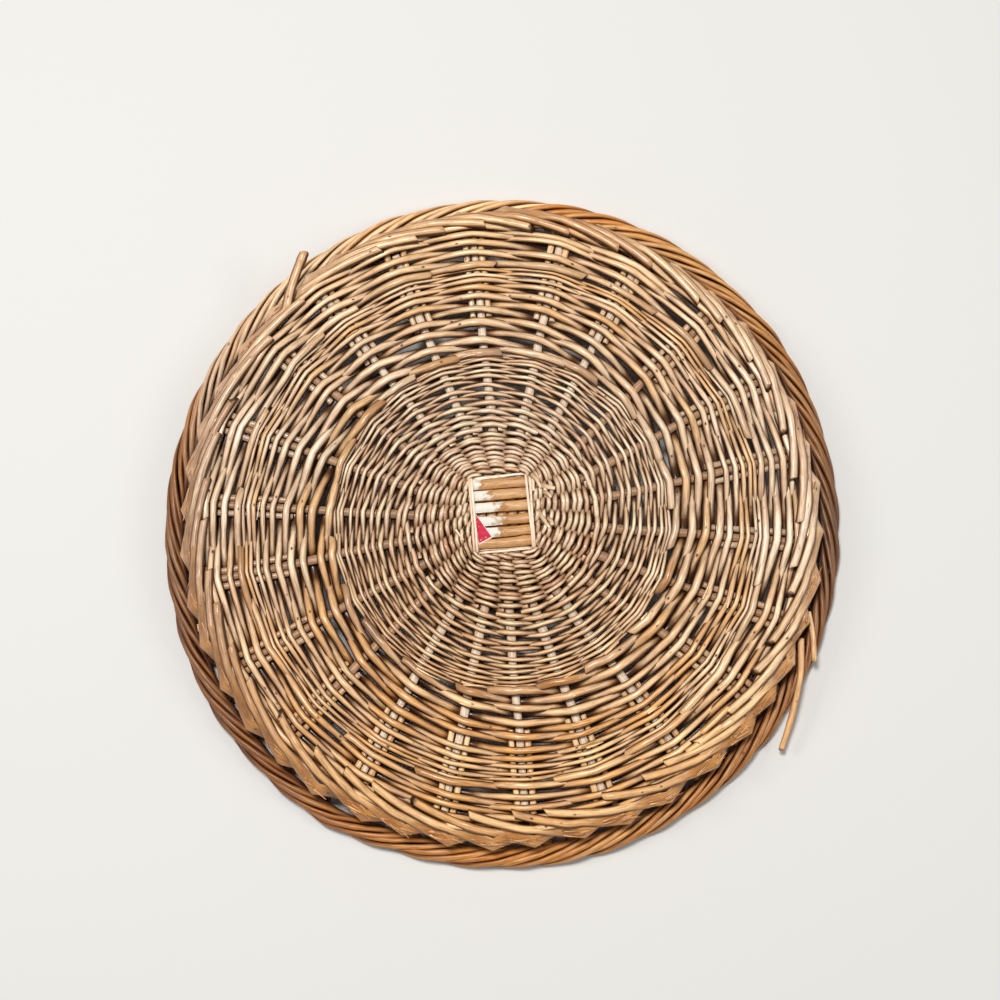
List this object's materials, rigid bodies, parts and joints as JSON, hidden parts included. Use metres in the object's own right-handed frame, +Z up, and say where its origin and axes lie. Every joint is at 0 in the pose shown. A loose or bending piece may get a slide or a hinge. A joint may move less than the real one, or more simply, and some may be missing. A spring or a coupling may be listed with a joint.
{
  "type": "tray",
  "caption": "Round willow serving tray lying face down: sticks crossed and fanned into spokes, close and open woven zones, rolled rope rim and a ring of bent stakes that makes the foot",
  "frame": {"origin": "On the table, under the middle of the rim, with the tray lying face down on its rim.", "axes": "+Z up out of the tray's underside, +X to the right and +Y away from the viewer; turned over for use, the tray stands on its ring of foot rods and the hollow faces up."},
  "size_m": [0.4, 0.4, 0.0352],
  "materials": {
    "base_stick": "peeled willow, satin",
    "skein": "split willow, satin",
    "fine_weave": "peeled willow, satin",
    "coarse_weave": "peeled willow, satin",
    "stake": "peeled willow, satin",
    "rim": "peeled willow, satin"
  },
  "bodies": {
    "root": {"across_stick_01": "base_stick", "across_stick_02": "base_stick", "across_stick_03": "base_stick", "across_stick_04": "base_stick", "across_stick_05": "base_stick", "across_stick_06": "base_stick", "along_stick_01": "base_stick", "along_stick_02": "base_stick", "along_stick_03": "base_stick", "along_stick_04": "base_stick", "along_stick_05": "base_stick", "cross_binding": "skein", "fine_weave": "fine_weave", "coarse_weaver_01": "coarse_weave", "coarse_weaver_02": "coarse_weave", "rim_rope": "rim", "stake_01": "stake", "stake_02": "stake", "stake_03": "stake", "stake_04": "stake", "stake_05": "stake", "stake_06": "stake", "stake_07": "stake", "stake_08": "stake", "stake_09": "stake", "stake_10": "stake", "stake_11": "stake", "stake_12": "stake", "stake_13": "stake", "stake_14": "stake", "stake_15": "stake", "stake_16": "stake", "stake_17": "stake", "stake_18": "stake", "stake_19": "stake", "stake_20": "stake", "stake_21": "stake", "stake_22": "stake", "stake_23": "stake", "stake_24": "stake", "stake_25": "stake", "stake_26": "stake", "stake_27": "stake", "stake_28": "stake", "stake_29": "stake", "stake_30": "stake", "stake_31": "stake", "stake_32": "stake", "stake_33": "stake", "stake_34": "stake", "stake_35": "stake", "stake_36": "stake", "stake_37": "stake", "stake_38": "stake", "stake_39": "stake", "stake_40": "stake", "stake_41": "stake", "stake_42": "stake", "stake_43": "stake", "stake_44": "stake"}
  },
  "joints": []
}
